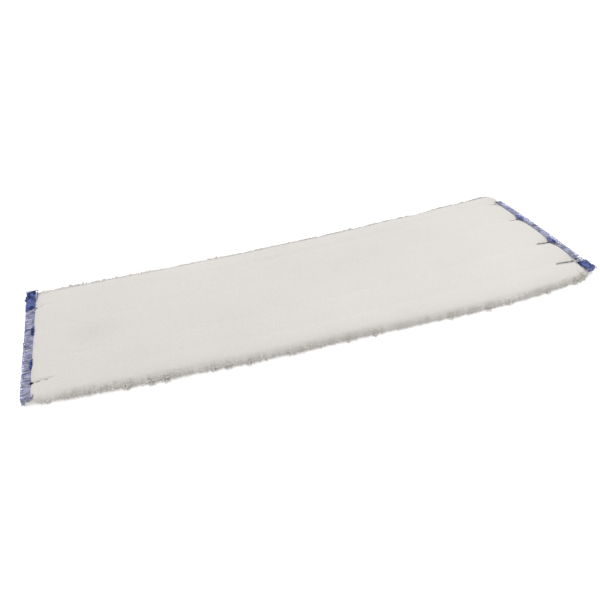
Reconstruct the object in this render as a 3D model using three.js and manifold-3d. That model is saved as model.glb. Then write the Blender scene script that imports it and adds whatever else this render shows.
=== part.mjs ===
// Flat mop cover: a white microfibre pad lying pile side up. Its pile fabric wraps round an
// absorbent felt core and both long edges, a loop-fabric panel closes the back, four lengthwise
// chain-stitch rows quilt the layers together, and blue overlock seams bind the two ends.
// Millimetres: +X along the pad, +Y across it, +Z up, origin under the middle of the back.
import * as THREE from 'three';
import { mergeVertices } from 'three/addons/utils/BufferGeometryUtils.js';
import Module from 'manifold-3d';

const wasm = await Module();
wasm.setup();

// Driving dimensions
const padLength = 450;
const leftEndWidth = 120;
const rightEndWidth = 143;
const edgeBelly = 1.7;         // how far each long edge bows out beyond its outer stitch row
const sideBend = 9;            // the soft pad lies in a slight curve, its middle towards -Y
const leftDrift = -9.3;        // how far the rows run off centre at each end, at mid width
const rightDrift = -2.2;
const leftSpread = -7.8;       // how the outer rows close in at the left end and open at the right
const rightSpread = 4.8;
const nearBulge = 6.2;         // soft bulge of the -Y edge, towards the right end
const bulgeCentre = 155;
const bulgeLength = 95;
const padThickness = 7;
const seamWidth = 8;           // overlock seam, from its needle line to the cut end
const seamThickness = 2.8;     // cloth layers squeezed inside the overlock
const seamLift = 0.8;          // room for the lower looper thread under the squeezed layers
const outerRow = 48.3;
const innerRow = 20;
const gap = 0.3;               // clearance between neighbouring solids

// Layers, from the back up
const panelThickness = 1;
const hemThickness = 0.9;
const coreTop = 3.3;
const valleyHeight = 4.4;
const valleyHalfWidth = 1;
const panelHalfWidth = 55;
const hemInnerEdge = 40;
const coreHalfWidth = 62;
const rollCentre = 59.5;
const rollBottom = 0.4;         // the rolled edge stays just above the flat back
const coreClearance = 0.4;

// Threads
const threadHeight = 0.6;
const threadWidth = 0.8;
const looperHeight = 0.4;
const looperBottom = 0.25;
const stitchPitch = 5;
const zigzagWidth = 1.6;

// Ends of the pad
const halfLength = padLength / 2;
const halfWidth = (leftEndWidth + rightEndWidth) / 4;
const seamInner = halfLength - seamWidth;
const clothEnd = halfLength - 1.7;
const purlInner = clothEnd + gap;
const purlOuter = purlInner + 0.5;
const roundingStart = seamInner - 12;
const seamRatio = seamThickness / padThickness;
const overlockTop = seamLift + seamThickness + gap;
const pocketEnd = seamInner - 2.5;
const lowestThread = 0.1;
const seamInset = 0.5;
const tackThickness = 0.6;

const hemBottom = panelThickness + gap;
const hemTop = hemBottom + hemThickness;
const clothBottom = coreTop + gap;

const white = new THREE.MeshStandardMaterial({ color: 0xe0dcd6, roughness: 0.95, metalness: 0 });
const felt = new THREE.MeshStandardMaterial({ color: 0xd9d7d0, roughness: 1, metalness: 0 });
const loopWhite = new THREE.MeshStandardMaterial({ color: 0xe8e7e3, roughness: 0.9, metalness: 0 });
const navy = new THREE.MeshStandardMaterial({ color: 0x3a3d55, roughness: 0.7, metalness: 0 });
const blue = new THREE.MeshStandardMaterial({ color: 0x4d5a99, roughness: 0.7, metalness: 0 });
const deepBlue = new THREE.MeshStandardMaterial({ color: 0x2f3d72, roughness: 0.65, metalness: 0 });

// Places along the pad where every lengthwise solid has a cross-section
function stationsAlongPad() {
  const half = [0, 60, 120, 170, 195];
  const roundingSteps = 4;
  for (let k = 0; k <= roundingSteps; k += 1) {
    const turn = (k / roundingSteps) * (Math.PI / 2);
    half.push(roundingStart + (seamInner - roundingStart) * Math.sin(turn));
  }
  half.push(clothEnd);
  const mirrored = half.slice(1).reverse().map((x) => -x);
  return [...mirrored, ...half];
}

const stations = stationsAlongPad();
const liftStart = stations[stations.length - 3];

// Rises and falls along the edge, and is back to nothing where the end seam holds the cloth
function bulgeShape(x) {
  const beforeSeam = THREE.MathUtils.smoothstep(seamInner + 4 - x, 0, 10);
  return Math.exp(-(((x - bulgeCentre) / bulgeLength) ** 2)) * beforeSeam;
}

// The pad narrows towards its left end, its edges bow out beyond the outer rows, it lies in a
// slight curve, and its rows drift and spread while its edges stay in place
function layAcross(x, y) {
  const widthHere = THREE.MathUtils.mapLinear(x, -halfLength, halfLength, leftEndWidth, rightEndWidth);
  const fromEnds = 1 - (x / halfLength) ** 2;
  const beyondRow = Math.max(0, (Math.abs(y) - outerRow) / (halfWidth - outerRow));
  const belly = Math.sign(y) * edgeBelly * fromEnds * beyondRow;
  const drift = THREE.MathUtils.mapLinear(x, -halfLength, halfLength, leftDrift, rightDrift);
  const spread = THREE.MathUtils.mapLinear(x, -halfLength, halfLength, leftSpread, rightSpread);
  const fromEdges = 1 - (y / halfWidth) ** 2;
  const rowShift = (drift + spread * (y / outerRow) ** 3) * fromEdges;
  const bulge = y < 0 ? nearBulge * beyondRow * bulgeShape(x) : 0;
  return (y * widthHere) / (2 * halfWidth) + belly + rowShift - bulge - sideBend * fromEnds;
}

// The layers thin out, round over, and lift a little where the end seam squeezes them
function layHeight(x, z) {
  const rounding = (Math.abs(x) - roundingStart) / (seamInner - roundingStart);
  const intoRounding = THREE.MathUtils.clamp(rounding, 0, 1);
  const ratio = seamRatio + (1 - seamRatio) * Math.sqrt(1 - intoRounding ** 2);
  const lift = THREE.MathUtils.clamp((Math.abs(x) - liftStart) / (seamInner - liftStart), 0, 1);
  return z * ratio + seamLift * lift;
}

// A cross-section of points [y, z], run lengthwise through the stations from one x to another.
// A thread passes its anchor height, which moves with the cloth while its own section stays rigid.
function runAlongPad(outline, fromX, toX, anchor = null) {
  const inside = stations.filter((x) => x > fromX + 0.1 && x < toX - 0.1);
  const places = [fromX, ...inside, toX];
  const shape = new THREE.Shape(outline.map(([y, z]) => new THREE.Vector2(y, z)));
  const steps = places.length - 1;
  const geometry = new THREE.ExtrudeGeometry(shape, { depth: steps, steps, bevelEnabled: false });
  const position = geometry.attributes.position;
  for (let i = 0; i < position.count; i += 1) {
    const x = places[Math.round(position.getZ(i))];
    const y = position.getX(i);
    const z = position.getY(i);
    const height = anchor === null ? layHeight(x, z) : layHeight(x, anchor) + z - anchor;
    position.setXYZ(i, x, layAcross(x, y), height);
  }
  return geometry;
}

function rectangle(left, right, bottom, top) {
  return [[left, bottom], [right, bottom], [right, top], [left, top]];
}

// Points of an elliptical arc in the cross-section, angles in degrees
function arc(centreY, centreZ, radiusY, radiusZ, fromAngle, toAngle, steps) {
  const points = [];
  for (let k = 0; k <= steps; k += 1) {
    const angle = THREE.MathUtils.degToRad(fromAngle + ((toAngle - fromAngle) * k) / steps);
    points.push([centreY + radiusY * Math.cos(angle), centreZ + radiusZ * Math.sin(angle)]);
  }
  return points;
}

function toManifold(geometry) {
  const bare = geometry.clone();
  bare.deleteAttribute('normal');
  bare.deleteAttribute('uv');
  const merged = mergeVertices(bare, 1e-4);
  const mesh = new wasm.Mesh({
    numProp: 3,
    vertProperties: Float32Array.from(merged.attributes.position.array),
    triVerts: Uint32Array.from(merged.index.array),
  });
  return new wasm.Manifold(mesh);
}

function fromManifold(solid) {
  const mesh = solid.getMesh();
  const geometry = new THREE.BufferGeometry();
  geometry.setAttribute('position', new THREE.BufferAttribute(mesh.vertProperties, 3));
  geometry.setIndex(new THREE.BufferAttribute(mesh.triVerts, 1));
  geometry.computeVertexNormals();
  return geometry;
}

const pad = new THREE.Group();

function addPiece(name, geometry, material) {
  const mesh = new THREE.Mesh(geometry, material);
  mesh.name = name;
  pad.add(mesh);
}

// Pile fabric: crowned between the rows, rolled round each long edge and hemmed under the core
function pileFaceOutline() {
  const rollHeight = (padThickness - rollBottom) / 2;
  const crown = padThickness - valleyHeight;
  const channelSteps = 6;
  const rightEdge = [
    [hemInnerEdge, hemBottom],
    [panelHalfWidth + 1, hemBottom],
    ...arc(rollCentre, rollBottom + rollHeight, halfWidth - rollCentre, rollHeight, -90, 90, 8),
  ];
  const outerValley = outerRow + valleyHalfWidth;
  const edgeCrown = arc(rollCentre, valleyHeight, rollCentre - outerValley, crown, 90, 180, 4).slice(1);
  const sideChannel = (outerRow - innerRow) / 2 - valleyHalfWidth;
  const sideCrown = arc((outerRow + innerRow) / 2, valleyHeight, sideChannel, crown, 0, 180, channelSteps);
  const middleCrown = arc(0, valleyHeight, innerRow - valleyHalfWidth, crown, 0, 90, channelSteps / 2);
  const rightHalf = [...rightEdge, ...edgeCrown, ...sideCrown, ...middleCrown];
  const mirrored = rightHalf.slice(0, -1).reverse().map(([y, z]) => [-y, z]);
  const innerWall = coreHalfWidth + coreClearance;
  const innerRight = [
    [innerWall, clothBottom],
    [innerWall + 1, clothBottom - coreClearance],
    [innerWall + 1, hemTop + coreClearance],
    [innerWall, hemTop],
    [hemInnerEdge, hemTop],
  ];
  const innerLeft = [...innerRight].reverse().map(([y, z]) => [-y, z]);
  return [...rightHalf, ...mirrored, ...innerLeft, ...innerRight];
}

addPiece('pile_face', runAlongPad(pileFaceOutline(), -clothEnd, clothEnd), white);

// Felt core: thick between the hems, thinner where it lies over them
function feltCoreOutline() {
  const betweenHems = hemInnerEdge - 0.5;
  const overHem = hemTop + gap;
  return [
    [-betweenHems, hemBottom],
    [betweenHems, hemBottom],
    [betweenHems, overHem],
    [coreHalfWidth, overHem],
    [coreHalfWidth, coreTop],
    [-coreHalfWidth, coreTop],
    [-coreHalfWidth, overHem],
    [-betweenHems, overHem],
  ];
}

addPiece('felt_core', runAlongPad(feltCoreOutline(), -clothEnd, clothEnd), felt);

const rows = [outerRow, innerRow, -innerRow, -outerRow];
const pocketDepth = looperBottom + looperHeight + gap;

// Loop panel: flat back, with a shallow pocket for each row's looper thread
function loopPanel() {
  const outline = rectangle(-panelHalfWidth, panelHalfWidth, 0, panelThickness);
  let panel = toManifold(runAlongPad(outline, -clothEnd, clothEnd));
  for (const row of rows) {
    const half = threadWidth / 2 + gap;
    const pocket = rectangle(row - half, row + half, -1, pocketDepth);
    panel = panel.subtract(toManifold(runAlongPad(pocket, -pocketEnd, pocketEnd, 0)));
  }
  return fromManifold(panel);
}

addPiece('loop_back_panel', loopPanel(), loopWhite);

// Chain-stitch rows: a needle thread in each valley and a looper thread in each pocket
rows.forEach((row, index) => {
  const half = threadWidth / 2;
  const bottom = valleyHeight + gap;
  const needle = rectangle(row - half, row + half, bottom, bottom + threadHeight);
  addPiece(`row_needle_thread_${index + 1}`, runAlongPad(needle, -clothEnd, clothEnd, valleyHeight), navy);
  const looper = rectangle(row - half, row + half, looperBottom, looperBottom + looperHeight);
  const looperEnd = pocketEnd - gap;
  addPiece(`row_looper_thread_${index + 1}`, runAlongPad(looper, -looperEnd, looperEnd, 0), navy);
});

// Each end seam: which way x runs outwards, half its length, and the corner that holds its tack
const ends = [
  { name: 'left', side: -1, half: leftEndWidth / 2 - seamInset, tackSide: 1, tackLength: 24 },
  { name: 'right', side: 1, half: rightEndWidth / 2 - seamInset, tackSide: -1, tackLength: 15 },
];

// A plan outline with x measured outwards from the middle, extruded upwards
function planSolid(points, end, bottom, height) {
  const shape = new THREE.Shape(points.map(([x, y]) => new THREE.Vector2(end.side * x, y)));
  const geometry = new THREE.ExtrudeGeometry(shape, { depth: height, bevelEnabled: false });
  geometry.translate(0, 0, bottom);
  return geometry;
}

function zigzagOutline(end) {
  const turns = Math.floor((2 * end.half) / (stitchPitch / 2));
  const inner = seamInner + threadWidth + gap + zigzagWidth / 2;
  const outer = purlOuter - 0.1 - zigzagWidth / 2;
  const near = [];
  const far = [];
  for (let k = 0; k <= turns; k += 1) {
    const y = -end.half + (2 * end.half * k) / turns;
    const x = k % 2 === 0 ? inner : outer;
    near.push([x - zigzagWidth / 2, y]);
    far.push([x + zigzagWidth / 2, y]);
  }
  return [...near, ...far.reverse()];
}

// A looper thread: zigzag on one side of the cloth, joined to the purled edge over the cut end
function looperThread(end, bottom, height, purlBottom, purlTop) {
  const zigzag = toManifold(planSolid(zigzagOutline(end), end, bottom, height));
  const purl = rectangle(purlInner, purlOuter, -end.half, end.half);
  const edge = toManifold(planSolid(purl, end, purlBottom, purlTop - purlBottom));
  return fromManifold(zigzag.add(edge));
}

function overlockNeedleThread(end) {
  const line = rectangle(seamInner, seamInner + threadWidth, -end.half, end.half);
  return planSolid(line, end, overlockTop, threadHeight);
}

// Dense tack over one corner of the seam: a top plate with a lip over the cut end
function seamTack(end) {
  const top = overlockTop + threadHeight + gap;
  const inner = seamInner;
  const lip = halfLength - tackThickness;
  const outline = [
    [inner, top],
    [lip, top],
    [lip, lowestThread],
    [halfLength, lowestThread],
    [halfLength, top + tackThickness],
    [inner, top + tackThickness],
  ];
  const shape = new THREE.Shape(outline.map(([x, z]) => new THREE.Vector2(end.side * x, z)));
  const geometry = new THREE.ExtrudeGeometry(shape, { depth: end.tackLength, bevelEnabled: false });
  geometry.rotateX(Math.PI / 2);
  const middle = end.tackSide * (end.half - end.tackLength / 2);
  geometry.translate(0, middle + end.tackLength / 2, 0);
  return geometry;
}

for (const end of ends) {
  const middle = seamLift + seamThickness / 2;
  const upper = looperThread(end, overlockTop, threadHeight, middle + gap / 2, overlockTop + threadHeight);
  const lowerHeight = seamLift - gap - lowestThread;
  const lower = looperThread(end, lowestThread, lowerHeight, lowestThread, middle - gap / 2);
  addPiece(`overlock_needle_thread_${end.name}`, overlockNeedleThread(end), blue);
  addPiece(`overlock_upper_looper_${end.name}`, upper, blue);
  addPiece(`overlock_lower_looper_${end.name}`, lower, blue);
  addPiece(`overlock_end_tack_${end.name}`, seamTack(end), deepBlue);
}

// The origin goes under the middle of the pad's outline
const outline = new THREE.Box3().setFromObject(pad);
pad.position.y = -(outline.min.y + outline.max.y) / 2;

export default pad;
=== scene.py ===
"""Looks of the flat mop cover: a quilted microfibre pad lying pile side up on a pale floor.

All shapes are worked out in millimetres in the CAD frame (+X along the pad, +Y across it, +Z up) and
turned into metres when a mesh is made.
"""
import math

import bpy
import numpy as np
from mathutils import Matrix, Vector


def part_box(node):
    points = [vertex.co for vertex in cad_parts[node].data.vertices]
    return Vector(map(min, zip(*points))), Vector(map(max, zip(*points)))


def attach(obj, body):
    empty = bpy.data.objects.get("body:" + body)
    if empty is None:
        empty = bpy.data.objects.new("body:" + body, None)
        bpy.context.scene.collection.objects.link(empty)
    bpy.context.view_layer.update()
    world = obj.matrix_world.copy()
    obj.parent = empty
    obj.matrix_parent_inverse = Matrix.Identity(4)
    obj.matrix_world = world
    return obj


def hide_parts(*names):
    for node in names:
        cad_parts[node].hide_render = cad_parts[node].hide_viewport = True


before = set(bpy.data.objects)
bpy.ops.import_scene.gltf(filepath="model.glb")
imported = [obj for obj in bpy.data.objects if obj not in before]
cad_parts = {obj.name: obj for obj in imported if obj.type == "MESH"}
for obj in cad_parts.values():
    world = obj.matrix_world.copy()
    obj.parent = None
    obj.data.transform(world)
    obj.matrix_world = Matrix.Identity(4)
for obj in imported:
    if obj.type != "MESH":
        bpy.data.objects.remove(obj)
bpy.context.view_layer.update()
rng = np.random.default_rng(12)

MM = 0.001


# ---- sizes read from the frame

def box_mm(node):
    low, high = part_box(node)
    return np.array(low) / MM, np.array(high) / MM


def width_of(node):
    low, high = box_mm(node)
    return high[1] - low[1]


THREAD_INSET = 0.5  # the CAD seam threads stop this far inside the cloth's corners
TACK_SHORT = 3.5  # the right tack shows this much less than its full length
left_low, left_high = box_mm("overlock_needle_thread_left")
CLOTH_END, _, PAD_HEIGHT = box_mm("pile_face")[1]
SEAM_INNER = box_mm("overlock_needle_thread_right")[0][0]
HALF_LENGTH = box_mm("overlock_end_tack_right")[1][0]
SEAM_WIDTH = HALF_LENGTH - SEAM_INNER
END_Y = (left_low[1] + left_high[1]) / 2
LEFT_HALF = width_of("overlock_needle_thread_left") / 2 + THREAD_INSET
RIGHT_HALF = width_of("overlock_needle_thread_right") / 2 + THREAD_INSET
MEAN_HALF = (LEFT_HALF + RIGHT_HALF) / 2
LEFT_TACK = width_of("overlock_end_tack_left")
RIGHT_TACK = width_of("overlock_end_tack_right") - TACK_SHORT

# The part's own driving dimensions that a box does not give
OUTER_ROW = 48.3
INNER_ROW = 20.0
ROWS = [OUTER_ROW, INNER_ROW, -INNER_ROW, -OUTER_ROW]
EDGE_BELLY = 1.7
SIDE_BEND = 9.0
LEFT_DRIFT = -9.3
RIGHT_DRIFT = -2.2
LEFT_SPREAD = -7.8
RIGHT_SPREAD = 4.8
NEAR_BULGE = 6.2
BULGE_CENTRE = 155.0
BULGE_LENGTH = 95.0
SEAM_THICKNESS = 2.8
SEAM_LIFT = 0.8
SEAM_TOP = SEAM_LIFT + SEAM_THICKNESS
PANEL_HALF = 55.0
PANEL_TOP = 1.0
CHANNEL = 0.5  # depth of the rows of stitching in the back
CHANNEL_REACH = 1.3
LAYER_GAP = 0.02  # no flat layer is lower than this
CORE_HALF = 62.0
CORE_BOTTOM = 2.5
CORE_TOP = 3.3

# Shape of the soft cloth
FLOOR_GAP = 0.1  # the face fabric is no lower than this
ROUNDING = 12.0  # length over which the pad rounds down to its end seams
HEM_INNER = 40.0
HEM_BOTTOM = 1.3
HEM_TOP = 2.2
HEM_DROP = 0.3  # how much lower the hem hangs beyond the back panel
HEM_FOLD = 0.3  # height of the crease inside a rolled edge
HEM_TO_EDGE = 9.0  # the hem starts to roll up this far short of the edge
END_RAISE = 1.1  # how far the right end seam stands up off the floor
RAISE_LENGTH = 9.0  # length over which it rises
LIFT_LENGTH = 2.0
END_BOW = 2.4  # how far the right end seam bows outwards in its middle
BULGE_STOP = 4.0  # the near bulge is over this far past the seam line
BULGE_FADE = 10.0
FAR_CORNERS = (1.5, 11.0)  # radius of the left and the right corner on the far side
NEAR_CORNERS = (2.5, 2.0)
CORNER_START = 26.0  # corners and bow take hold this far before the seam line
CORNER_FADE = 30.0
EDGE_ROLL = 22.0  # how far in from a long edge the top starts to fall away
EDGE_MIDDLE = 2.0  # height at which the pad is widest
EDGE_CLOTH = 2.8  # the fabric's thickness at its long edges, nap and all
ROLL_BOTTOM = 0.4
CLOTH_BACK = 3.7  # underside of the face fabric, over the core


def smooth_step(t):
    t = np.clip(t, 0.0, 1.0)
    return t * t * (3 - 2 * t)


def rising(value, start, length):
    """0 up to start and 1 from a length further on, with a smooth step between them."""
    return smooth_step((value - start) / length)


def from_end_to_end(x, left, right):
    """A value at station x that changes evenly from the left end to the right end."""
    return left + (right - left) * (x + HALF_LENGTH) / (2 * HALF_LENGTH)


def lay_across(x, y):
    """y of the sewn pad: tapered, bellied past the outer rows, bent, and with rows off centre."""
    from_ends = 1 - (x / HALF_LENGTH) ** 2
    beyond = np.maximum(0, (np.abs(y) - OUTER_ROW) / (MEAN_HALF - OUTER_ROW))
    belly = np.sign(y) * EDGE_BELLY * from_ends * beyond
    drift = from_end_to_end(x, LEFT_DRIFT, RIGHT_DRIFT)
    spread = from_end_to_end(x, LEFT_SPREAD, RIGHT_SPREAD)
    inside = np.clip(1 - (y / MEAN_HALF) ** 2, 0, 1)
    row_shift = (drift + spread * (y / OUTER_ROW) ** 3) * inside
    before_seam = smooth_step((SEAM_INNER + BULGE_STOP - x) / BULGE_FADE)
    swell = np.exp(-((x - BULGE_CENTRE) / BULGE_LENGTH) ** 2) * before_seam
    bulge = np.where(y < 0, NEAR_BULGE * beyond * swell, 0)
    tapered = y * from_end_to_end(x, LEFT_HALF, RIGHT_HALF) / MEAN_HALF
    return END_Y + tapered + belly + row_shift - bulge - SIDE_BEND * from_ends


def lay_along(x, y):
    """x of the sewn pad: its right end bows out a little, and its corners are rounded off."""
    far = np.where(x > 0, FAR_CORNERS[1], FAR_CORNERS[0])
    near = np.where(x > 0, NEAR_CORNERS[1], NEAR_CORNERS[0])
    radius = np.where(y > 0, far, near)
    into = np.clip((np.abs(y) - (MEAN_HALF - radius)) / radius, 0, 1)
    short_of_quarter_turn = 0.98
    inset = radius * (1 - np.sqrt(1 - short_of_quarter_turn * into ** 2))
    close = rising(np.abs(x), SEAM_INNER - CORNER_START, CORNER_FADE)
    bow = np.where(x > 0, END_BOW, 0) * np.clip(1 - (y / MEAN_HALF) ** 2, 0, 1)
    return x + np.sign(x) * (bow - inset) * close


def squeeze(x):
    """Share of the pad's thickness left at station x, from 1 in the middle to the flat end seam."""
    into = np.clip((np.abs(x) - (SEAM_INNER - ROUNDING)) / ROUNDING, 0, 1)
    ratio = SEAM_THICKNESS / PAD_HEIGHT
    return ratio + (1 - ratio) * np.sqrt(1 - into ** 2)


def seam_lift(x):
    """How far the end seams are off the floor: the right one curls up a little."""
    raised = END_RAISE * rising(x, SEAM_INNER - RAISE_LENGTH, RAISE_LENGTH)
    return SEAM_LIFT * rising(np.abs(x), SEAM_INNER - LIFT_LENGTH, LIFT_LENGTH) + raised


# ---- mesh helpers

UP = (0, 0, 1)
TURN = 2 * math.pi
TINY = 1e-12  # added to a length so that it is never divided by as zero


def add_object(name, data):
    made = bpy.data.objects.new(name, data)
    bpy.context.scene.collection.objects.link(made)
    return made


def build_mesh(name, points, faces, material):
    """A smooth mesh object from points in mm and a list of (count, size) face arrays."""
    mesh = bpy.data.meshes.new(name)
    mesh.vertices.add(len(points))
    mesh.vertices.foreach_set("co", (points * MM).astype(np.float32).ravel())
    loops = np.concatenate([block.ravel() for block in faces])
    totals = np.concatenate([np.full(len(block), block.shape[1]) for block in faces])
    starts = np.concatenate([[0], np.cumsum(totals)[:-1]])
    mesh.loops.add(len(loops))
    mesh.loops.foreach_set("vertex_index", loops.astype(np.int32))
    mesh.polygons.add(len(totals))
    mesh.polygons.foreach_set("loop_start", starts.astype(np.int32))
    mesh.polygons.foreach_set("loop_total", totals.astype(np.int32))
    mesh.polygons.foreach_set("use_smooth", np.full(len(totals), True))
    mesh.update(calc_edges=True)
    mesh.validate()
    mesh.materials.append(material)
    return add_object(name, mesh)


def place(piece, slot, *nodes):
    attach(piece, "root")
    if nodes:
        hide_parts(*nodes)
    return piece


def grid_quads(rows, columns, first=0, flip=False):
    corner = (np.arange(rows - 1)[:, None] * columns + np.arange(columns - 1)[None, :]).ravel() + first
    quads = np.stack([corner, corner + columns, corner + columns + 1, corner + 1], 1)
    return quads[:, ::-1] if flip else quads


def unit(vectors):
    return vectors / (np.linalg.norm(vectors, axis=-1, keepdims=True) + TINY)


def shell(name, outer, inner, material):
    """A closed sheet between two grids of points, whose outer side faces outwards."""
    rows, columns = outer.shape[:2]
    count = rows * columns
    index = np.arange(count).reshape(rows, columns)
    rim = np.concatenate([index[:-1, 0], index[-1, :-1], index[:0:-1, -1], index[0, :0:-1]])
    following = np.roll(rim, -1)
    edge = np.stack([rim, following, following + count, rim + count], 1)
    faces = [grid_quads(rows, columns, flip=True), grid_quads(rows, columns, first=count), edge]
    points = np.concatenate([outer.reshape(-1, 3), inner.reshape(-1, 3)])
    return build_mesh(name, points, faces, material)


def swept(paths, radii, sides, reference):
    """Points and faces of closed tubes, from their middle lines and the radii of their rings.

    reference is a direction that no middle line runs along.
    """
    count, rings = paths.shape[:2]
    tangent = unit(np.gradient(paths, axis=1))
    across = unit(np.cross(tangent, np.asarray(reference, float)))
    upward = np.cross(across, tangent)
    angle = np.arange(sides) * TURN / sides
    spoke = across[:, :, None] * np.cos(angle)[:, None] + upward[:, :, None] * np.sin(angle)[:, None]
    points = paths[:, :, None] + spoke * radii[:, :, None, None]
    ring = np.arange(sides)
    beside = np.roll(ring, -1)
    wall = np.stack([ring + sides, beside + sides, beside, ring], 1)
    walls = (np.arange(rings - 1)[:, None, None] * sides + wall).reshape(-1, 4)
    caps = np.stack([ring, ring[::-1] + (rings - 1) * sides])
    offset = (np.arange(count) * rings * sides)[:, None, None]
    faces = [(offset + walls).reshape(-1, 4), (offset + caps).reshape(-1, sides)]
    return points.reshape(-1, 3), faces


def tubes(name, paths, radii, material, slot, *nodes, sides=6, reference=UP):
    points, faces = swept(paths, radii, sides, reference)
    return place(build_mesh(name, points, faces, material), slot, *nodes)


def thread(name, path, radius, material, slot, *nodes, sides=6):
    """One long thread of even thickness."""
    return tubes(name, path[None], np.full((1, len(path)), radius), material, slot, *nodes, sides=sides)


def spline(knots, per_span):
    """Catmull-Rom curve through the knots, with per_span steps between neighbours."""
    padded = np.concatenate([2 * knots[:1] - knots[1:2], knots, 2 * knots[-1:] - knots[-2:-1]])
    a, b, c, d = padded[:-3], padded[1:-2], padded[2:-1], padded[3:]
    t = (np.arange(per_span) / per_span)[None, :, None]
    a, b, c, d = (p[:, None] for p in (a, b, c, d))
    curve = 0.5 * (2 * b + (c - a) * t + (2 * a - 5 * b + 4 * c - d) * t ** 2
                   + (3 * b - a - 3 * c + d) * t ** 3)
    return np.concatenate([curve.reshape(-1, 3), knots[-1:]])


def cubic_weights(f):
    """Catmull-Rom weights of four neighbours, at the share f of the way between the middle two."""
    return np.stack([
        ((-f + 2) * f - 1) * f / 2,
        ((3 * f - 5) * f * f + 2) / 2,
        ((-3 * f + 4) * f + 1) * f / 2,
        (f - 1) * f * f / 2,
    ], -1)


def sample(grid, a, b):
    """Points of a smooth surface through a grid, at fractional row a and column b."""
    rows, columns = grid.shape[:2]
    row = np.clip(np.floor(a).astype(int), 0, rows - 2)
    column = np.clip(np.floor(b).astype(int), 0, columns - 2)
    row_weight = cubic_weights(np.clip(a - row, 0, 1))
    column_weight = cubic_weights(np.clip(b - column, 0, 1))
    total = np.zeros(np.shape(a) + (3,))
    for i in range(4):
        for j in range(4):
            corner = grid[np.clip(row + i - 1, 0, rows - 1), np.clip(column + j - 1, 0, columns - 1)]
            total += corner * (row_weight[..., i] * column_weight[..., j])[..., None]
    return total


def grid_normals(grid):
    along = np.gradient(grid, axis=0)
    across = np.gradient(grid, axis=1)
    return unit(np.cross(along, across))


def value_noise(x, y, cell, seed):
    """Smooth random field from -1 to 1, with one independent value per cell."""
    cells = 64
    off_x, off_y = 17.3, 5.9  # keep the cells' borders away from the middle of the pad
    table = np.random.default_rng(seed).uniform(-1, 1, (cells, cells))
    gx = x / cell + off_x
    gy = y / cell + off_y
    ix = np.floor(gx).astype(int)
    iy = np.floor(gy).astype(int)
    fx = smooth_step(gx - ix)
    fy = smooth_step(gy - iy)
    left, right = ix % cells, (ix + 1) % cells
    near, far = iy % cells, (iy + 1) % cells
    low = table[left, near] * (1 - fx) + table[right, near] * fx
    high = table[left, far] * (1 - fx) + table[right, far] * fx
    return low * (1 - fy) + high * fy


# ---- materials

def set_inputs(node, values):
    for name, value in values.items():
        node.inputs[name].default_value = value


def new_material(name, roughness, sheen, specular=0.2):
    material = bpy.data.materials.new(name)
    material.use_nodes = True
    shader = material.node_tree.nodes["Principled BSDF"]
    set_inputs(shader, {"Roughness": roughness, "Sheen Weight": sheen, "Sheen Roughness": 0.5,
                        "Specular IOR Level": specular})
    return material, material.node_tree, shader


def mapping_node(tree, scale, location=(0, 0, 0)):
    coordinates = tree.nodes.new("ShaderNodeTexCoord")
    mapping = tree.nodes.new("ShaderNodeMapping")
    set_inputs(mapping, {"Scale": scale, "Location": location})
    tree.links.new(coordinates.outputs["Object"], mapping.inputs["Vector"])
    return mapping


def noise_node(tree, scale, detail, stretch=(1, 1, 1)):
    noise = tree.nodes.new("ShaderNodeTexNoise")
    set_inputs(noise, {"Scale": scale, "Detail": detail})
    tree.links.new(mapping_node(tree, stretch).outputs["Vector"], noise.inputs["Vector"])
    return noise


def ramp_node(tree, factor, low, high, start=0.3, end=0.7):
    ramp = tree.nodes.new("ShaderNodeValToRGB")
    for stop, position, colour in zip(ramp.color_ramp.elements, (start, end), (low, high)):
        stop.position = position
        stop.color = (*colour, 1)
    tree.links.new(factor, ramp.inputs["Fac"])
    return ramp


def bump_node(tree, height, strength, distance, shader):
    bump = tree.nodes.new("ShaderNodeBump")
    set_inputs(bump, {"Strength": strength, "Distance": distance})
    tree.links.new(height, bump.inputs["Height"])
    tree.links.new(bump.outputs["Normal"], shader.inputs["Normal"])


def multiplied(tree, first, second):
    """The product of the colours of two nodes."""
    mixed = tree.nodes.new("ShaderNodeMixRGB")
    mixed.blend_type = "MULTIPLY"
    set_inputs(mixed, {"Fac": 1})
    tree.links.new(first.outputs["Color"], mixed.inputs["Color1"])
    tree.links.new(second.outputs["Color"], mixed.inputs["Color2"])
    return mixed


# The faint darker grey patch on the pile, in metres
GREY_PATCH_X, GREY_PATCH_Y = -0.176, -0.004
GREY_PATCH_LENGTH, GREY_PATCH_WIDTH = 0.024, 0.016


def grey_patch_node(tree):
    """An oval patch a little darker than the rest, which fades out towards its rim."""
    location = (-GREY_PATCH_X / GREY_PATCH_LENGTH, -GREY_PATCH_Y / GREY_PATCH_WIDTH, 0)
    centred = mapping_node(tree, (1 / GREY_PATCH_LENGTH, 1 / GREY_PATCH_WIDTH, 0), location)
    reach = tree.nodes.new("ShaderNodeVectorMath")
    reach.operation = "LENGTH"
    tree.links.new(centred.outputs["Vector"], reach.inputs[0])
    return ramp_node(tree, reach.outputs["Value"], (0.955, 0.955, 0.960), (1, 1, 1), 0.1, 1.0)


def pile_material():
    """Warm white microfibre, with soft cloudy variation and one faint darker grey patch near the left end.
    """
    material, tree, shader = new_material("pile_microfibre", 0.95, 0.25)
    clouds = noise_node(tree, 9, 3)
    fine = noise_node(tree, 900, 2)
    base = ramp_node(tree, clouds.outputs["Fac"], (0.626, 0.602, 0.570), (0.656, 0.635, 0.604))
    tint = ramp_node(tree, fine.outputs["Fac"], (0.94, 0.94, 0.94), (1, 1, 1), 0.35, 0.65)
    tinted = multiplied(tree, base, tint)
    colour = multiplied(tree, tinted, grey_patch_node(tree))
    tree.links.new(colour.outputs["Color"], shader.inputs["Base Color"])
    return material


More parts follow.
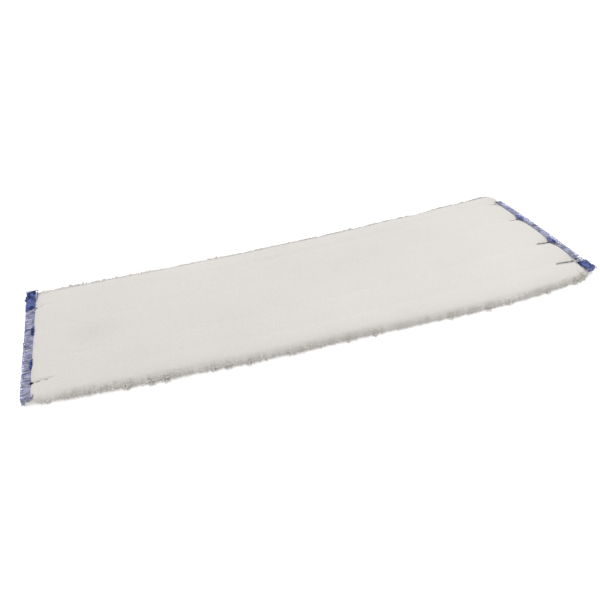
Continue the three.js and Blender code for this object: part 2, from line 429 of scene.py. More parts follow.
def cloth_material(name, low, high, weave):
    """Knitted or felted cloth: cloudy colour, and a fine fibre bump."""
    material, tree, shader = new_material(name, 0.95, 0.2)
    clouds = noise_node(tree, 60, 4)
    colour = ramp_node(tree, clouds.outputs["Fac"], low, high)
    fibre = noise_node(tree, weave, 3)
    tree.links.new(colour.outputs["Color"], shader.inputs["Base Color"])
    bump_node(tree, fibre.outputs["Fac"], 0.5, 0.0006, shader)
    return material


def thread_material(name, low, high, patches=180):
    """Spun thread: a bump of fine filaments, and lighter and darker patches of colour."""
    material, tree, shader = new_material(name, 0.6, 0.1)
    ply = noise_node(tree, 1500, 2, stretch=(1, 1, 0.4))
    patch_noise = noise_node(tree, patches, 2)
    colour = ramp_node(tree, patch_noise.outputs["Fac"], low, high, 0.40, 0.60)
    tree.links.new(colour.outputs["Color"], shader.inputs["Base Color"])
    bump_node(tree, ply.outputs["Fac"], 0.6, 0.0003, shader)
    return material


PILE = pile_material()
FELT = cloth_material("needled_felt", (0.62, 0.61, 0.58), (0.74, 0.72, 0.69), 500)
LOOPS = cloth_material("brushed_loops", (0.74, 0.73, 0.71), (0.84, 0.83, 0.81), 1200)
ROW_THREAD = thread_material("row_thread_navy", (0.010, 0.011, 0.018), (0.035, 0.037, 0.060))
SEAM_THREAD = thread_material("overlock_thread_blue", (0.110, 0.125, 0.290), (0.420, 0.440, 0.700), 260)
BLUE_THREAD = thread_material("bunched_thread_blue", (0.030, 0.045, 0.200), (0.180, 0.220, 0.540), 300)
# The tack thread's wide spread from near-black to bright blue, in small patches, is partly painted shade
# between the crossing turns of the tack and partly painted highlights on them. Around these it keeps the
# thread's own deep blue.
TACK_THREAD = thread_material("tack_thread_blue", (0.008, 0.018, 0.090), (0.110, 0.180, 0.440), 300)
KNOT_THREAD = thread_material("tack_knot_navy", (0.006, 0.010, 0.040), (0.035, 0.055, 0.170), 500)
TAIL_THREAD = thread_material("cut_filaments_grey", (0.200, 0.205, 0.330), (0.480, 0.470, 0.620), 400)
EDGE_THREAD = thread_material("needle_thread_slate", (0.090, 0.100, 0.180), (0.230, 0.250, 0.390))


# ---- form of the quilted pad

def stations():
    """x of each cross-section: even in the middle, closer where the pad rounds down to its seams."""
    middle = np.linspace(0, SEAM_INNER - ROUNDING, 44)
    rounding = SEAM_INNER - ROUNDING * (1 - np.sin(np.linspace(0, math.pi / 2, 9)[1:]))
    seam = np.linspace(SEAM_INNER, CLOTH_END, 4)[1:]
    half = np.concatenate([middle, rounding, seam])
    return np.concatenate([-half[:0:-1], half])


def row_distance(y):
    return np.min([np.abs(y - row) for row in ROWS], axis=0)


def section():
    """Outer and inner line of the face fabric, from the near hem round the top to the far hem."""
    hem = np.linspace(HEM_INNER, MEAN_HALF - HEM_TO_EDGE, 5)
    lower = np.radians(np.linspace(-90, 0, 6))
    upper = np.radians(np.linspace(0, 90, 11))[1:]
    start = MEAN_HALF - EDGE_ROLL
    top = np.linspace(start, 0, 21)[1:]
    bulge = np.cos(upper).clip(0)
    rise = np.sin(upper)
    under, inner_under = 3.2, 3.0  # how wide the rolled edge is below its middle, outside and inside
    outer_y = [hem, MEAN_HALF - under + under * np.cos(lower), start + EDGE_ROLL * bulge, top]
    hem_z = np.where(hem > PANEL_HALF, HEM_BOTTOM - HEM_DROP, HEM_BOTTOM)
    lower_z = EDGE_MIDDLE + (EDGE_MIDDLE - ROLL_BOTTOM) * np.sin(lower)
    upper_z = EDGE_MIDDLE + (PAD_HEIGHT - EDGE_MIDDLE) * rise
    outer_z = [hem_z, lower_z, upper_z, np.full(len(top), PAD_HEIGHT)]
    wall = MEAN_HALF - EDGE_CLOTH
    inner_y = [hem, wall - inner_under * (1 - np.cos(lower)), start + (wall - start) * bulge, top]
    crease = HEM_TOP + HEM_FOLD
    inner_lower = crease + HEM_FOLD * np.sin(lower)
    inner_upper = crease + (CLOTH_BACK - crease) * rise
    inner_z = [np.full(len(hem), HEM_TOP), inner_lower, inner_upper, np.full(len(top), CLOTH_BACK)]
    lines = []
    for y, z in ((outer_y, outer_z), (inner_y, inner_z)):
        y, z = np.concatenate(y), np.concatenate(z)
        lines.append((np.concatenate([-y, y[:-1][::-1]]), np.concatenate([z, z[:-1][::-1]])))
    return lines


OUTER_LINE, INNER_LINE = section()
STATIONS = stations()
COLUMNS = len(OUTER_LINE[0])
TOP_FIRST = 16  # column where the top of the pad starts on the near side
TOP_LAST = COLUMNS - 1 - TOP_FIRST
TOP = slice(TOP_FIRST, TOP_LAST + 1)

PUCKERS = (0.06, 0.34)  # share of its height that a row loses at the left and right seam
PUCKER_LENGTH = 13.0
PUCKER_WIDTH = 6.5


def flat_grid(line):
    """Station, flat y and full height of every point of one side of the face fabric."""
    x, y = np.meshgrid(STATIONS, line[0], indexing="ij")
    return x, y, np.broadcast_to(line[1], x.shape)


def form(line, share):
    """Grid of points of one side of the face fabric, with a share of the puckers by the seams."""
    x, y, height = flat_grid(line)
    by_seam = np.exp(-(np.maximum(0, SEAM_INNER - np.abs(x)) / PUCKER_LENGTH) ** 1.5)
    top_side = rising(height, 4.5, 2)
    pucker = np.exp(-(row_distance(y) / PUCKER_WIDTH) ** 2) * by_seam * top_side
    strength = np.where(x > 0, PUCKERS[1], PUCKERS[0]) * share
    squeezed = height * squeeze(x) * (1 - strength * pucker) + seam_lift(x)
    return np.stack([lay_along(x, y), lay_across(x, y), squeezed], -1)


SHORT_OF_SEAM = 0.6  # how far back from the right end seam the pile stops between its rows
PULL_IN = (0.8, 1.8, 2.6, 3.4)  # how far back it stops at rows 1 to 4
PULL_WIDTH = 5.5
NEAR_PULL = 5.5  # how much more it is pulled in at the tacked near right corner
CORNER_FOLD = 5.0  # how far it folds over the seam at the far right corner
FOLD_PAST_ROW = 3.0  # the fold starts this far past row 1
LEFT_OVERHANG = 1.8  # how far it hangs over the left end seam


def overhang(points):
    """The pile hangs over the left end seam, and the rows pull it back from the right one."""
    x, y, height = flat_grid(OUTER_LINE)
    between = rising(row_distance(y), 1, 9)
    corner = CORNER_FOLD * rising(y, OUTER_ROW + FOLD_PAST_ROW, 6)
    pulled = sum(pull * np.exp(-((y - row) / PULL_WIDTH) ** 2) for pull, row in zip(PULL_IN, ROWS))
    tacked = NEAR_PULL * rising(-y, OUTER_ROW + 4, 8)
    right = corner - SHORT_OF_SEAM * between - pulled - tacked
    left = LEFT_OVERHANG * (0.8 + 0.2 * between) * (1.25 - 0.4 * y / MEAN_HALF)
    amount = np.where(x > 0, right, left) * rising(height, 2.5, 2)
    close = np.exp(-((np.abs(x) - SEAM_INNER + 3) / 5) ** 2)
    bulged = points.copy()
    bulged[..., 0] += np.sign(x) * amount * close
    return bulged


SWELL_CAP = 0.9  # the simulation moves no point further than this
SWELL_PRESSURE = 4
SWELL_FRAMES = 20
HELD_BY_ROW = 1.6  # the cloth is held this near to a row of stitching
HELD_BY_SEAM = 5.0


def simulate(grid):
    """Swells the face fabric between its rows with a short cloth simulation, rows and hems pinned."""
    rows, columns = grid.shape[:2]
    across = np.linspace(0.85, -0.85, 9)  # the points that close each ring under the pad
    hem_y = grid[:, -1:, 1]
    middle = (grid[:, :1, 1] + hem_y) / 2
    under = np.stack(np.broadcast_arrays(
        grid[:, :1, 0], middle + (hem_y - middle) * across[None, :], HEM_BOTTOM), -1)
    ring = np.concatenate([grid, under], 1)
    width = ring.shape[1]
    index = np.arange(rows * width).reshape(rows, width)
    side = np.roll(index, -1, 1)
    quads = np.stack([index[:-1], index[1:], side[1:], side[:-1]], -1).reshape(-1, 4)
    caps = np.stack([index[0], index[-1][::-1]])
    body = build_mesh("puff", ring.reshape(-1, 3), [quads, caps], PILE)
    held = row_distance(np.broadcast_to(OUTER_LINE[0], (rows, columns))) < HELD_BY_ROW
    held = held | (OUTER_LINE[1] < EDGE_MIDDLE)[None, :]
    held = held | (np.abs(STATIONS) > SEAM_INNER - HELD_BY_SEAM)[:, None]
    pins = body.vertex_groups.new(name="pins")
    pinned = np.concatenate([held, np.ones((rows, len(across)), bool)], 1).ravel()
    pins.add([int(i) for i in np.flatnonzero(pinned)], 1.0, "REPLACE")
    cloth = body.modifiers.new("Cloth", "CLOTH")
    cloth.settings.use_pressure = True
    cloth.settings.uniform_pressure_force = SWELL_PRESSURE
    cloth.settings.vertex_group_mass = "pins"
    cloth.settings.effector_weights.gravity = 0
    cloth.point_cache.frame_end = SWELL_FRAMES
    scene = bpy.context.scene
    for step in range(1, SWELL_FRAMES + 1):
        scene.frame_set(step)
    shaped = body.evaluated_get(bpy.context.evaluated_depsgraph_get()).data
    moved = np.empty(len(shaped.vertices) * 3, np.float32)
    shaped.vertices.foreach_get("co", moved)
    moved = moved.reshape(rows, width, 3)[:, :columns] / MM
    scene.frame_set(1)
    bpy.data.objects.remove(body)
    shift = moved - grid
    length = np.linalg.norm(shift, axis=2, keepdims=True)
    return shift * np.minimum(1, SWELL_CAP / (length + TINY))


def settle(grid, shift, share):
    """Adds the simulated swelling and the slow unevenness of a washed, soft pad lying on a floor."""
    x, y, height = flat_grid(OUTER_LINE)
    above = rising(height, 1.5, 4) * squeeze(x)
    settled = grid + shift * share * np.stack([above * 0.3, above * 0.5, above], -1)
    slow = 0.30 * value_noise(x, y, 42, 3) + 0.14 * value_noise(x, y, 17, 4)
    settled[..., 2] += above * share * slow
    edge = rising(np.abs(y), 52, 12)
    settled[..., 1] += 0.6 * value_noise(x, np.sign(y) * 40, 34, 5) * edge
    return settled


plain_outer = form(OUTER_LINE, 1)
swelling = simulate(plain_outer)
outer_form = settle(overhang(plain_outer), swelling, 1.0)
inner_form = settle(form(INNER_LINE, 0), swelling, 0.25)
outer_normals = grid_normals(outer_form)


# ---- stitch grooves in the nap

# For rows 1 to 4 at each end: how far from the seam the groove runs, how open it is, and how
# much of the needle thread shows in it
GROOVE_LENGTH = {"left": (15, 6, 6, 16), "right": (15, 17, 18, 24)}
GROOVE_OPEN = {"left": (0.8, 0.15, 0.15, 1.0), "right": (0.4, 0.5, 1.0, 0.9)}
THREAD_SHOWN = {"left": (0, 0, 0, 0), "right": (0.13, 0.15, 1.0, 0.85)}
GROOVE_DEPTH = 1.1
GROOVE_REACH = 1.25
VALLEY_DEPTH = 0.32  # the soft valley that every row leaves near the right seam
VALLEY_FADE = 60.0  # it is almost gone this far from it
VALLEY_REACH = 5.0


def near_seam(number, x, amounts):
    """Spreads one amount per end over the length of the groove of row number (0 to 3)."""
    total = np.zeros(np.shape(x))
    for name, side in (("left", -1), ("right", 1)):
        to_seam = SEAM_INNER - side * x
        close = smooth_step(2.5 * (1 - to_seam / GROOVE_LENGTH[name][number]))
        total = total + amounts[name][number] * close * (side * x > 0)
    return total


def opening(number, x):
    """How open the pile is over row number at x, from 0 closed to 1."""
    return near_seam(number, x, GROOVE_OPEN)


def valley(x):
    return VALLEY_DEPTH * (0.18 + 0.82 * np.exp(-((SEAM_INNER - x) / VALLEY_FADE) ** 2))


def nap_depth(x, y):
    """How far the stitch rows pull the nap down at station x and flat distance y."""
    depth = np.zeros(np.broadcast(x, y).shape)
    for number, row in enumerate(ROWS):
        away = y - row
        depth += valley(x) * np.exp(-(away / VALLEY_REACH) ** 2) * squeeze(x)
        depth += GROOVE_DEPTH * opening(number, x) * np.exp(-(away / GROOVE_REACH) ** 2) * squeeze(x)
    return depth


# ---- cloth pieces

def arc_reach():
    """Distance round the outer line of the face fabric at each of its columns."""
    middle = outer_form[len(STATIONS) // 2]
    steps = np.linalg.norm(np.diff(middle, axis=0), axis=1)
    return np.concatenate([[0], np.cumsum(steps)])


REACH = arc_reach()


def column_at(arc):
    return np.interp(arc, REACH, np.arange(COLUMNS))


def flat_at(b):
    return np.interp(b, np.arange(COLUMNS), OUTER_LINE[0])


def spaced(start, end, coarse, fine, fine_places, spread):
    """Places from start to end, a coarse step apart, closing to a fine step near given places."""
    fine_grid = np.linspace(start, end, 4000)
    close = sum(np.exp(-((fine_grid - place) / spread) ** 2) for place in fine_places)
    density = 1 / coarse + (1 / fine - 1 / coarse) * np.minimum(close, 1)
    total = np.concatenate([[0], np.cumsum((density[1:] + density[:-1]) / 2 * np.diff(fine_grid))])
    return np.interp(np.linspace(0, total[-1], int(total[-1]) + 1), total, fine_grid)


def surface(x, b):
    """Row, point and outward normal of the outer face at stations x and fractional columns b."""
    a = np.interp(x, STATIONS, np.arange(len(STATIONS)))
    return a, sample(outer_form, a, b), unit(sample(outer_normals, a, b))


def napped_surface(x, b):
    """The same, with the top pressed down along its stitch rows."""
    a, point, normal = surface(x, b)
    on_top = (b >= TOP_FIRST) & (b <= TOP_LAST)
    point[..., 2] -= np.where(on_top, nap_depth(x, flat_at(b)), 0)
    return a, point, normal


def pile_sheet():
    """The face fabric: knitted ground with its dense nap, hemmed under both long edges."""
    row_arcs = np.interp(ROWS[::-1], OUTER_LINE[0][TOP], REACH[TOP])
    arcs = spaced(0, REACH[-1], coarse=1.45, fine=0.5, fine_places=row_arcs, spread=2)
    ends = (-CLOTH_END, CLOTH_END)
    xs = spaced(*ends, coarse=1.5, fine=0.8, fine_places=ends, spread=22)
    x, arc = np.meshgrid(xs, arcs, indexing="ij")
    b = column_at(arc)
    a, point, normal = napped_surface(x, b)
    nap = 0.025 * value_noise(x, arc, 2.6, 11) + 0.02 * value_noise(x, arc, 1.4, 12)
    nap = nap * squeeze(x) * rising(point[..., 2], 0.3, 1.5)
    outer = point + normal * nap[..., None]
    outer[..., 2] = np.maximum(outer[..., 2], FLOOR_GAP)
    inner = sample(inner_form, a, b)
    piece = shell("pile_sheet", outer[:, ::-1], inner[:, ::-1], PILE)
    return place(piece, "pile", "pile_face")


NAP_HEIGHT = 0.22
ROOT_DEPTH = 0.5  # how deep fibres and locks are rooted in the pile
FIBRE_LEAN = 0.75  # how far the fibres lean towards +X
FIBRE_RADIUS = 0.13
EDGE_FIBRE = 1.3  # how much longer the fibres are over the long edges
EDGE_BAND = 5.0  # width of the bands along the edges where they are longer
FIBRE_SPACING = 1.2
EDGE_SPACING = 0.8
EDGE_COLUMNS = (5, 14)  # columns of the section between which the near edge's dense fibres grow
LOCK_COLUMNS = (6, 13)
END_GAP = 0.5  # how far from an end the nap stops
LOCK_LENGTH = 1.0  # thick locks of pile that hang over the long edges
LOCK_RADIUS = 0.42
LOCK_SPACING = 1.1
TUFT_REACH = 4.2  # how much further the biggest tufts of them stick out


def tuft_centres(x, spacing, seed):
    """The tuft that each place along an edge belongs to: its centre and its relative size."""
    number = np.round(x / spacing).astype(int)
    table = np.random.default_rng(seed).uniform(-1, 1, (2, 1024))
    centre = (number + 0.35 * table[0][number % 1024]) * spacing
    return centre, 1 + 0.65 * table[1][number % 1024]


def scattered(arcs, xs, lanes, along, jitter):
    """Random places in a band: distances round the section and stations, about one in each cell."""
    lane, step = np.meshgrid(np.arange(lanes) + 0.5, np.arange(along) + 0.5, indexing="ij")
    lane = lane + rng.uniform(-jitter, jitter, lane.shape)
    step = step + rng.uniform(-jitter, jitter, lane.shape)
    arc = arcs[0] + lane * (arcs[1] - arcs[0]) / lanes
    x = xs[0] + step * (xs[1] - xs[0]) / along
    return arc.ravel(), x.ravel()


def bare(x, flat_y):
    """Where no fibres grow: in the open grooves, and over the right seam short of its far corner."""
    opened = sum(opening(number, x) * (np.abs(flat_y - row) < 1.2) for number, row in enumerate(ROWS))
    return (opened >= 0.25) | ((x >= SEAM_INNER - END_GAP) & (flat_y <= OUTER_ROW + FOLD_PAST_ROW))


def fibres(name, arcs, xs, spacing):
    """Loose fibres of the nap, as closed tapered strands that grow long and tufted over the edges."""
    lanes = max(1, int(round((arcs[1] - arcs[0]) / spacing)))
    along = max(1, int(round((xs[1] - xs[0]) / spacing)))
    arc, x = scattered(arcs, xs, lanes, along, 0.48)
    kept = ~bare(x, flat_at(column_at(arc)))
    arc, x = arc[kept], x[kept]
    paths, radii = fibre_tubes(x, arc)
    return add_plan_uv(tubes(name, paths, radii, PILE, "pile", sides=3, reference=(0.3, 0.9, 0.31)))


def fibre_tubes(x, arc):
    """Middle lines and radii of the fibres that grow at the given places."""
    b = column_at(arc)
    _, point, normal = napped_surface(x, b)
    root = point - normal * ROOT_DEPTH
    over_edge = rising(np.abs(flat_at(b)), MEAN_HALF - EDGE_BAND, 4.5)
    height = NAP_HEIGHT + EDGE_FIBRE * over_edge
    centre, size = tuft_centres(x, 5.2, 21)
    small_centre, small_size = tuft_centres(x, 2.1, 22)
    reach = height * rng.uniform(0.6, 1.1, x.shape)
    reach = reach * (1 + over_edge * (0.8 * (size - 1) + 0.7 * (small_size - 1)))
    sweep = FIBRE_LEAN * (0.6 + 0.4 * value_noise(x, arc, 26, 7)) + rng.normal(0, 0.25, x.shape)
    sweep += over_edge * (0.25 * (centre - x).clip(-2.5, 2.5) + 0.6 * (small_centre - x))
    aside = rng.normal(0, 0.22, x.shape)
    along_x = np.array([1.0, 0.0, 0.0])
    across = np.cross(normal, along_x)
    rise = normal * (ROOT_DEPTH + reach)[:, None]
    tip = root + rise + along_x * sweep[:, None] + across * aside[:, None]
    bend = root + (tip - root) * 0.55 + normal * (0.1 * height)[:, None]
    paths = np.stack([root, bend, tip], 1)
    paths[..., 2] = np.maximum(paths[..., 2], np.array([0.2, 0.2, 0.15]))
    radii = FIBRE_RADIUS * rng.uniform(0.8, 1.2, x.shape)[:, None] * np.array([[1.0, 0.85, 0.3]])
    return paths, radii


def add_plan_uv(piece):
    """Plan coordinates as the map for baked colour, so that each fibre takes the colour of its place."""
    mesh = piece.data
    points = np.empty(len(mesh.vertices) * 3, np.float32)
    mesh.vertices.foreach_get("co", points)
    points = points.reshape(-1, 3)
    index = np.empty(len(mesh.loops), np.int32)
    mesh.loops.foreach_get("vertex_index", index)
    low = points.min(0)
    span = points.max(0) - low
    plan = ((points - low) / span.max())[index][:, :2]
    layer = mesh.uv_layers.new(name="OFBake")
    layer.data.foreach_set("uv", plan.astype(np.float32).ravel())
    return piece


def edge_locks(name, edge, xs):
    """Thick locks of pile over one long edge, combed down and gathered into ragged tufts."""
    arcs = REACH[list(LOCK_COLUMNS)]
    lanes = int((arcs[1] - arcs[0]) / LOCK_SPACING)
    along = int((xs[1] - xs[0]) / LOCK_SPACING)
    arc, x = scattered(arcs, xs, lanes, along, 0.45)
    fade = smooth_step((arcs[1] - arc) / 4.5)
    arc = arc if edge < 0 else REACH[-1] - arc
    _, point, normal = surface(x, column_at(arc))
    centre, size = tuft_centres(x, 8.5, 31 + edge)
    small_centre, small_size = tuft_centres(x, 3.4, 34 + edge)
    near_centre = np.exp(-((x - centre) / 2.6) ** 2)
    tuft = TUFT_REACH * near_centre * rising(size, 0.75, 0.8)
    small_tuft = 0.5 * TUFT_REACH * rising(small_size, 0.6, 0.8)
    length = (LOCK_LENGTH + tuft + small_tuft * np.exp(-((x - small_centre) / 1.1) ** 2)) * fade
    length = length * rng.uniform(0.75, 1.1, x.shape) * squeeze(x)
    sweep = (0.45 * (small_centre - x) + 0.15 * (centre - x).clip(-3, 3)) * fade
    sweep += (0.6 * value_noise(x, arc, 18, 36) + rng.normal(0, 0.2, x.shape)) * fade
    t = np.linspace(0, 1, 4)[None, :]
    out = (ROOT_DEPTH + 0.75 * length[:, None]) * np.sin(t * math.pi / 2)
    paths = (point - ROOT_DEPTH * normal)[:, None] + normal[:, None] * out[..., None]
    paths[..., 0] += sweep[:, None] * t ** 1.5
    paths[..., 2] -= (0.35 * length)[:, None] * t ** 2
    radii = LOCK_RADIUS * rng.uniform(0.8, 1.15, (len(x), 1)) * np.array([[0.9, 1.0, 0.75, 0.2]])
    paths[..., 2] = np.maximum(paths[..., 2], radii + 0.05)
    return add_plan_uv(tubes(name, paths, radii, PILE, "pile", sides=5, reference=(0.9, 0.1, 0.42)))


def pile_fibres():
    """Loose fibres in bands across the pad and halves along it, and locks over its long edges."""
    end = SEAM_INNER - END_GAP
    middle = COLUMNS // 2
    low, high = EDGE_COLUMNS
    bands = (("edge_near", low, high, EDGE_SPACING), ("near", high, middle, FIBRE_SPACING),
             ("far", middle, -1 - high, FIBRE_SPACING), ("edge_far", -1 - high, -1 - low, EDGE_SPACING))
    made = []
    for half, from_x, to_x in (("left", -end, 0), ("right", 0, end)):
        for name, first, last, spacing in bands:
            last_x = CLOTH_END - END_GAP if half == "right" and "far" in name else to_x
            made.append(fibres(f"nap_fibres_{name}_{half}", REACH[[first, last]], (from_x, last_x), spacing))
        for name, edge in (("near", -1), ("far", 1)):
            made.append(edge_locks(f"edge_locks_{name}_{half}", edge, (from_x, to_x)))
    return made


def slab(name, half, bottom_z, top_z, material, channel=0):
    """A closed flat layer that follows the pad's taper and end seams, with softly uneven faces.

    channel is how deep the four rows of stitching press into its underside.
    """
    y = spaced(-half, half, coarse=1.8, fine=0.5, fine_places=ROWS, spread=2)
    x, y = np.meshgrid(STATIONS, y, indexing="ij")
    across = lay_across(x, y)
    along = lay_along(x, y)
    thin = squeeze(x)
    lift = seam_lift(x)
    edge = 1 - 0.5 * np.exp(-np.minimum(y + half, half - y) / 0.8)
    middle = (top_z + bottom_z) / 2
    thick = (top_z - bottom_z) / 2 * edge
    uneven = 0.04 * value_noise(x, y, 3.1, 9)
    upper = np.stack([along, across, (middle + thick + uneven) * thin + lift], -1)
    pressed = channel * np.exp(-(row_distance(y) / CHANNEL_REACH) ** 2)
    underside = np.maximum((middle - thick) * thin + lift, LAYER_GAP) + pressed
    lower = np.stack([along, across, underside], -1)
    return shell(name, upper[:, ::-1], lower[:, ::-1], material)


# ---- stitching

ROW_PITCH = 4.0
ROW_PAST_SEAM = 3.0  # the rows run on under the end seams as far as this
BURIED = 2.0  # how deep the needle thread lies where the pile hides it
SEAM_PITCH = 2.5


def needle_stitches(number):
    """Needle thread of one row: short arched stitches, which show where the pile opens."""
    count = int(2 * (SEAM_INNER + ROW_PAST_SEAM) / ROW_PITCH)
    starts = -count * ROW_PITCH / 2 + ROW_PITCH * np.arange(count)
    t = np.linspace(0, 1, 7)
    x = (starts[:, None] + ROW_PITCH * (0.08 + 0.84 * t)[None, :]).ravel()
    column = np.interp(ROWS[number], OUTER_LINE[0][TOP], np.arange(COLUMNS)[TOP])
    path = surface(x, np.full(x.shape, column))[1]
    shown = smooth_step(near_seam(number, x, THREAD_SHOWN) / 0.4)
    groove = valley(x) + GROOVE_DEPTH * opening(number, x)
    path[:, 2] -= (0.6 * groove * shown + BURIED * (1 - shown)) * squeeze(x)
    path = path.reshape(count, len(t), 3)
    arch = np.sin(math.pi * t)
    path[..., 2] += 0.1 + 0.55 * arch ** 0.6
    path[..., 1] += rng.normal(0, 0.1, (count, 1))
    radii = np.broadcast_to(0.25 + 0.15 * arch, (count, len(t)))
    tubes(f"row_needle_stitches_{number + 1}", path, radii, ROW_THREAD,
          "row_thread", f"row_needle_thread_{number + 1}")


def looper_chain(number):
    """Looper thread on the back: a chain of narrow loops, each caught by the next."""
    end = box_mm(f"row_looper_thread_{number + 1}")[1][0]
    count = int(2 * end / ROW_PITCH)
    t = np.linspace(0, TURN, 10, endpoint=False)
    knots = []
    for k in range(count):
        x = -end + ROW_PITCH * (k + 0.5) + 0.72 * ROW_PITCH * np.sin(t / 2 - math.pi / 4)
        y = ROWS[number] + 0.55 * np.sin(t)
        z = 0.36 + 0.12 * np.cos(t) + seam_lift(x)
        knots.append(np.stack([x, lay_across(x, y), z], -1))
    thread(f"row_looper_chain_{number + 1}", np.concatenate(knots), 0.2, ROW_THREAD,
           "row_thread", f"row_looper_thread_{number + 1}", sides=5)


def on_straight_seam(side, outward, y, z):
    """Points of an end seam: outward is measured from the needle line, y from the pad's middle."""
    raised = END_RAISE if side > 0 else 0
    x = side * (SEAM_INNER + outward)
    return np.stack(np.broadcast_arrays(x, y + END_Y, z + raised), -1)


def on_seam(side, outward, y, z):
    """The same, on a seam with its bow and its rounded corners."""
    half = RIGHT_HALF if side > 0 else LEFT_HALF
    points = on_straight_seam(side, outward, y, z)
    points[..., 0] = lay_along(points[..., 0], y * MEAN_HALF / half)
    return points


def row_end_y(side, number):
    return float(lay_across(np.array(side * SEAM_INNER), np.array(ROWS[number]))) - END_Y


# One overlock stitch, in shares of the pitch along the seam and of the reach across it
STITCH_ALONG = np.array([0.0, 0.10, 0.20, 0.34, 0.46, 0.44])
STITCH_OUT = np.array([0.0, 0.5, 0.93, 1.0, 0.88, 0.4])


def overlock_path(side, low, high, pitch, heights, reach, loose, start=0.0):
    """Looper thread from the needle line to the cut edge and back, stitch by stitch.

    loose is how unevenly it lies. start is how far out it begins.
    """
    count = max(1, int(round((high - low) / pitch)))
    step = (high - low) / count
    begin = low + step * np.arange(count)[:, None]
    jitter = rng.normal(0, loose, (count, 1)) * pitch
    out = start + (reach - start) * STITCH_OUT
    y = begin + step * STITCH_ALONG + jitter
    out = out + rng.normal(0, 2.5 * loose, y.shape)
    z = np.broadcast_to(heights, y.shape) + rng.normal(0, 0.8 * loose, y.shape)
    return spline(on_seam(side, out, y, z).reshape(-1, 3), 4)


def end_seam(name, side, half):
    """Three-thread overlock over one end of the pad. At the far right corner the pile hides it."""
    inset, inset_near_left = 0.6, 2.6
    low = -half + (inset if side > 0 else inset_near_left)
    high = half - inset if side < 0 else row_end_y(side, 0) + FOLD_PAST_ROW
    upper = SEAM_TOP + np.array([0.3, 0.45, 0.2, -1.0, 0.3, 0.5])
    lower = np.array([0.45, 0.42, 0.5, 2.2, 0.5, 0.42])
    for layer, heights, radius in (("upper", upper, 0.25), ("lower", lower, 0.22)):
        path = overlock_path(side, low, high, SEAM_PITCH, heights, SEAM_WIDTH + 0.1, loose=0.09)
        thread(f"overlock_{layer}_thread_{name}", path, radius, SEAM_THREAD,
               "overlock_thread", f"overlock_{layer}_looper_{name}")
    needle_line(name, side, low, high)
    for number in (1, 2):
        row_bunch(name, side, number)
    for number in (0, 3) if side > 0 else (3,):
        row_knot(name, side, number)
    if side < 0:
        corner_wrap(name, side, 1.2 - half, 8, EDGE_THREAD)


def corner_wrap(name, side, corner_y, turns, material):
    """Turns of thread that wrap the near edge of an end seam at its corner."""
    t = np.linspace(0, TURN, 9)[:-1]
    inward = 1.1 - 1.7 * np.cos(t)
    height = SEAM_TOP / 2 + 0.2 + (SEAM_TOP / 2 + 0.25) * np.sin(t)
    outward = 0.4 + (SEAM_WIDTH - 1.6) * np.arange(turns)[:, None] / (turns - 1) + 0.9 * t / TURN
    outward = outward + rng.normal(0, 0.2, outward.shape)
    y = corner_y + inward + rng.normal(0, 0.15, outward.shape)
    path = spline(on_straight_seam(side, outward, y, height).reshape(-1, 3), 4)
    path[:, 2] = np.maximum(path[:, 2], 0.3)
    thread(f"overlock_corner_wrap_{name}", path, 0.24, material, "overlock_thread")


def needle_line(name, side, low, high):
    """Needle thread of the overlock: one short stitch after another along the inner line."""
    count = int(round((high - low) / SEAM_PITCH))
    step = (high - low) / count
    t = np.linspace(0, 1, 7)
    arch = np.sin(math.pi * t)
    y = low + step * (np.arange(count)[:, None] + 0.94 * t)
    path = on_seam(side, -0.1, y, SEAM_TOP + 0.35 + 0.4 * arch)
    radii = np.broadcast_to(0.18 + 0.14 * arch, y.shape)
    tubes(f"overlock_needle_stitches_{name}", path, radii, EDGE_THREAD,
          "overlock_thread", f"overlock_needle_thread_{name}")


def row_bunch(name, side, number):
    """Where an inner row meets the seam, the looper thread bunches up on the needle line."""
    middle = row_end_y(side, number)
    length, turn_spacing = 10.0, 0.6
    turns = int(length / turn_spacing)
    share = np.linspace(-1, 1, 2 * turns)
    inner, outer = (-2.4, 4.0) if side > 0 else (1.3, 3.4)
    taper = 1 - np.abs(share)
    reach_in = inner * taper if side > 0 else inner * np.ones(2 * turns)
    reach_out = outer - (outer - inner) * 0.45 * (1 - np.sqrt(taper))
    outward = np.where(np.arange(2 * turns) % 2 == 0, reach_in, reach_out)
    outward = outward + rng.normal(0, 0.25, outward.shape)
    y = middle + length / 2 * share + rng.normal(0, 0.2, share.shape)
    z = SEAM_TOP + 0.85 + rng.normal(0, 0.15, share.shape)
    path = spline(on_seam(side, outward, y, z), 4)
    material = BLUE_THREAD if side > 0 else TACK_THREAD
    thread(f"overlock_bunch_{name}_{number + 1}", path, 0.25, material, "overlock_thread")


def row_knot(name, side, number):
    """Cut ends of an outer row's thread, caught by the overlock in a small dark knot."""
    across = 0.2 if side > 0 else 1.6
    knot = tangle(side, across, row_end_y(side, number), SEAM_TOP + 0.95, (1.6, 0.9, 0.35), 30)
    thread(f"row_end_knot_{name}_{number + 1}", knot, 0.2, ROW_THREAD, "row_thread")


def tangle(side, outward, y, z, size, count):
    """A loose ball of thread round a place on the seam, its half sizes given across, along and up."""
    turn = unit(rng.normal(0, 1, (count, 3))) * rng.uniform(0.4, 1, (count, 1))
    return spline(on_seam(side, outward + size[0] * turn[:, 0], y + size[1] * turn[:, 1],
                          z + size[2] * turn[:, 2]), 4)


